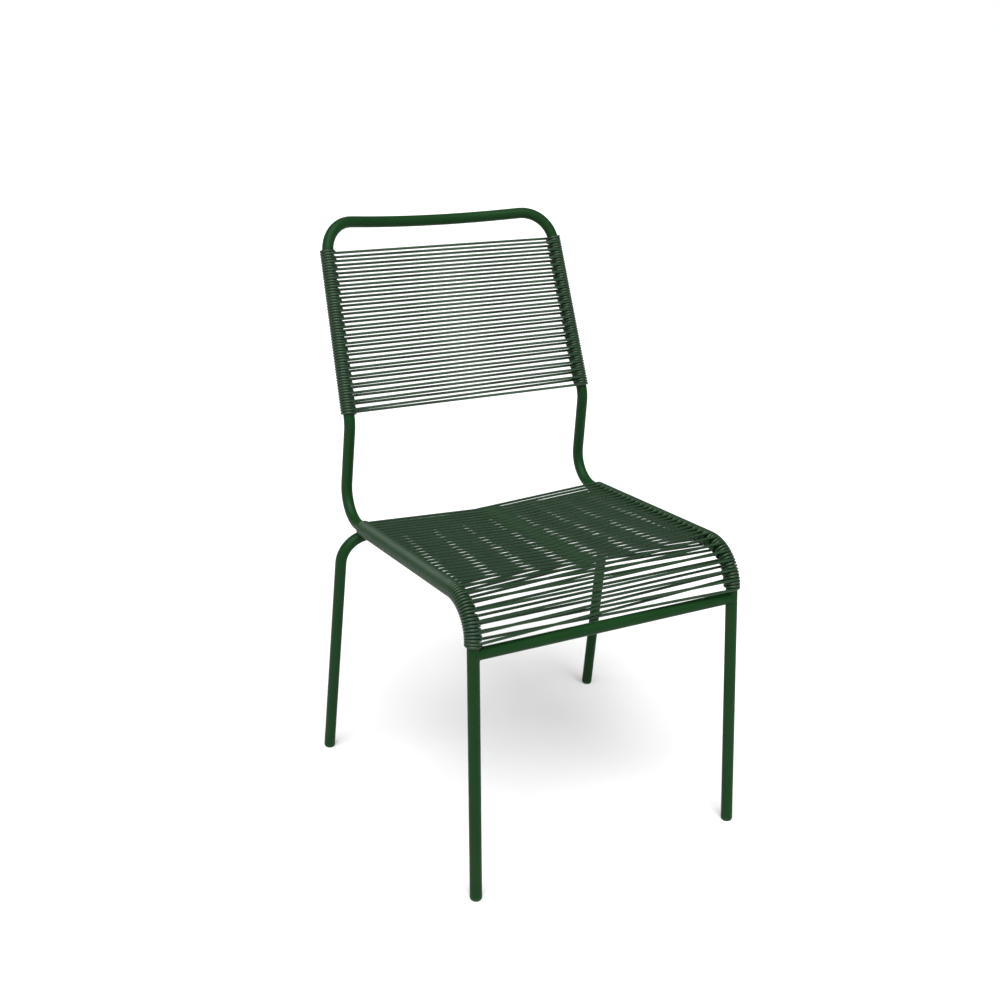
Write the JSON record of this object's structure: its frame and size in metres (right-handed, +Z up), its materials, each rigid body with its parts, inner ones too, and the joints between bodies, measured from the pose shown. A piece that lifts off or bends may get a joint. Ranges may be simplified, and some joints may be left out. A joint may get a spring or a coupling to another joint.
{
  "type": "stacking chair",
  "caption": "Stackable garden chair with a bent round steel tube frame and a seat and backrest of crossed round plastic cord.",
  "frame": {"origin": "on the floor, under the centre of the chair's outline", "axes": "+Z up, -Y towards the chair's front, X across the seat"},
  "size_m": [0.5382, 0.6564, 0.8688],
  "materials": {
    "frame_paint": "satin dark green powder coat",
    "cord_pvc": "smooth dark green round cord, slightly glossy",
    "glide_plastic": "moulded plastic, satin"
  },
  "bodies": {
    "root": {"back_cord_strings": "cord_pvc", "back_cord_winding_left": "cord_pvc", "back_cord_winding_right": "cord_pvc", "front_glide_left": "glide_plastic", "front_glide_right": "glide_plastic", "front_stretcher": "frame_paint", "main_frame_tube": "frame_paint", "rail_weld_left": "frame_paint", "rail_weld_right": "frame_paint", "rear_glide_left": "glide_plastic", "rear_glide_right": "glide_plastic", "rear_leg_tube": "frame_paint", "seat_cord_strings": "cord_pvc", "seat_cord_winding_left": "cord_pvc", "seat_cord_winding_right": "cord_pvc", "stretcher_weld_left": "frame_paint", "stretcher_weld_right": "frame_paint"}
  },
  "joints": []
}
